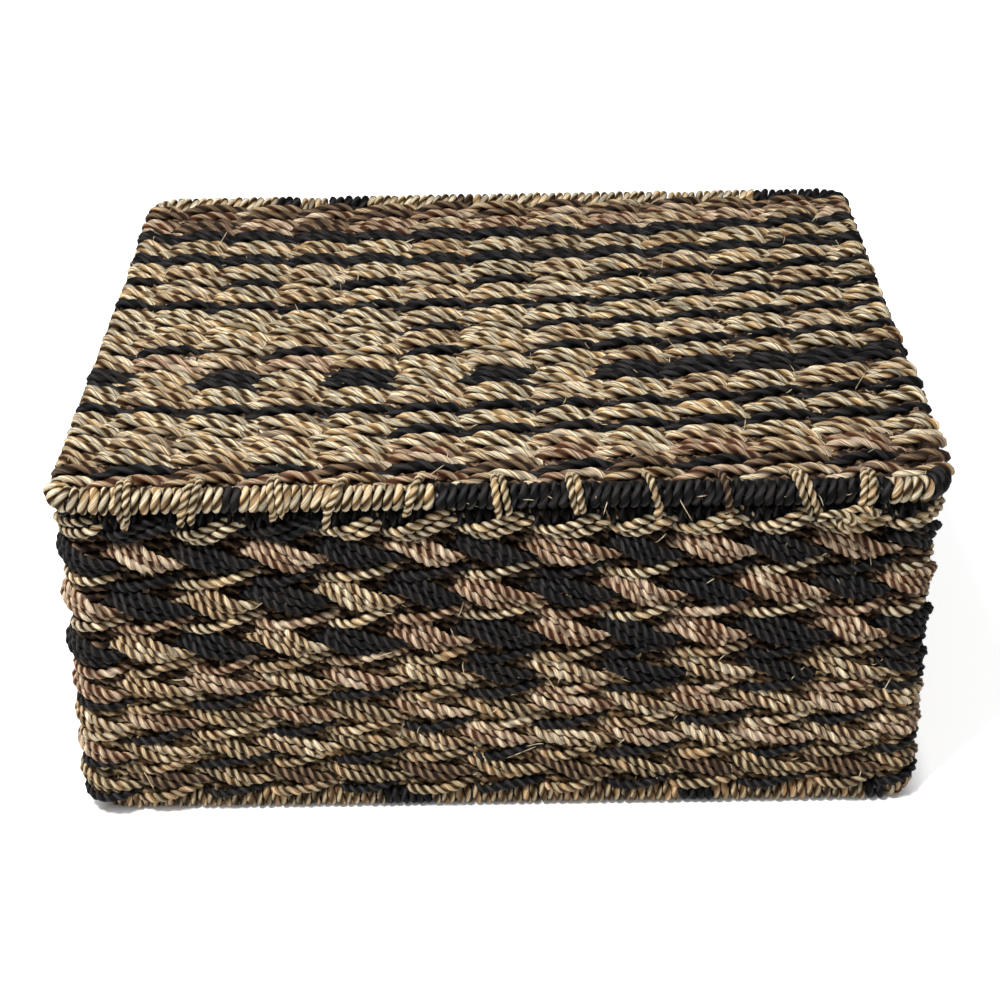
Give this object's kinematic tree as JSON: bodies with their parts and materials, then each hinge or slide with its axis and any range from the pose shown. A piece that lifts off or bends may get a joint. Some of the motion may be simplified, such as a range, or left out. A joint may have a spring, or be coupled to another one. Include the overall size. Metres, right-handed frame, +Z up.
{
  "type": "lidded storage basket",
  "caption": "Rectangular woven storage basket on a welded wire frame, with a flat woven lid lashed to its back rail so that it swings open.",
  "frame": {"origin": "under the middle of the basket, on the surface it stands on", "axes": "+X to the right along the width, +Y from the front to the hinged back, +Z up"},
  "size_m": [0.4, 0.3542, 0.1798],
  "materials": {
    "steel_wire": "drawn wire, dull",
    "natural_cord": "twisted dry rush, straw coloured",
    "black_cord": "twisted rush dyed black",
    "body_weave": "twined rush cords, tan, brown and black",
    "lid_weave": "twined rush cords, straw, brown and black"
  },
  "bodies": {
    "body": {"body_top_ring": "steel_wire", "body_base_ring": "steel_wire", "corner_post_front_left": "steel_wire", "corner_post_front_right": "steel_wire", "corner_post_back_left": "steel_wire", "corner_post_back_right": "steel_wire", "long_stake_01": "natural_cord", "long_stake_02": "natural_cord", "long_stake_03": "natural_cord", "long_stake_04": "natural_cord", "long_stake_05": "natural_cord", "long_stake_06": "natural_cord", "long_stake_07": "natural_cord", "long_stake_08": "natural_cord", "long_stake_09": "natural_cord", "long_stake_10": "natural_cord", "long_stake_11": "natural_cord", "side_stake_loop_right_1": "natural_cord", "side_stake_loop_right_2": "natural_cord", "side_stake_loop_right_3": "natural_cord", "side_stake_loop_right_4": "natural_cord", "side_stake_loop_left_1": "natural_cord", "side_stake_loop_left_2": "natural_cord", "side_stake_loop_left_3": "natural_cord", "side_stake_loop_left_4": "natural_cord", "woven_wall_front": "body_weave", "woven_wall_back": "body_weave", "woven_wall_right": "body_weave", "woven_wall_left": "body_weave", "woven_floor": "body_weave", "base_whipping_front": "natural_cord", "base_whipping_back": "natural_cord", "base_whipping_right": "natural_cord", "base_whipping_left": "natural_cord", "rail_whipping_front": "black_cord", "rail_whipping_right": "black_cord", "rail_whipping_left": "black_cord", "rail_whipping_back_middle": "black_cord", "rail_whipping_back_right": "black_cord", "rail_whipping_back_left": "black_cord", "hinge_lashing_left": "natural_cord", "hinge_lashing_right": "natural_cord"},
    "lid": {"lid_ring": "steel_wire", "lid_woven_panel": "lid_weave", "lid_stake_01": "natural_cord", "lid_stake_02": "natural_cord", "lid_stake_03": "natural_cord", "lid_stake_04": "natural_cord", "lid_stake_05": "natural_cord", "lid_stake_06": "natural_cord", "lid_stake_07": "natural_cord", "lid_stake_08": "natural_cord", "lid_stake_09": "natural_cord", "lid_stake_10": "natural_cord", "lid_stake_11": "natural_cord", "lid_front_whipping_natural": "natural_cord", "lid_front_whipping_black": "black_cord", "lid_back_whipping_middle": "natural_cord", "lid_back_whipping_right": "natural_cord", "lid_back_whipping_left": "natural_cord"}
  },
  "joints": [
    {"name": "lid_hinge", "type": "hinge", "parent": "body", "child": "lid", "pos_m": [0, 0.17074, 0.17003], "axis": [-1, 0, 0], "range_deg": [0, 180]}
  ]
}
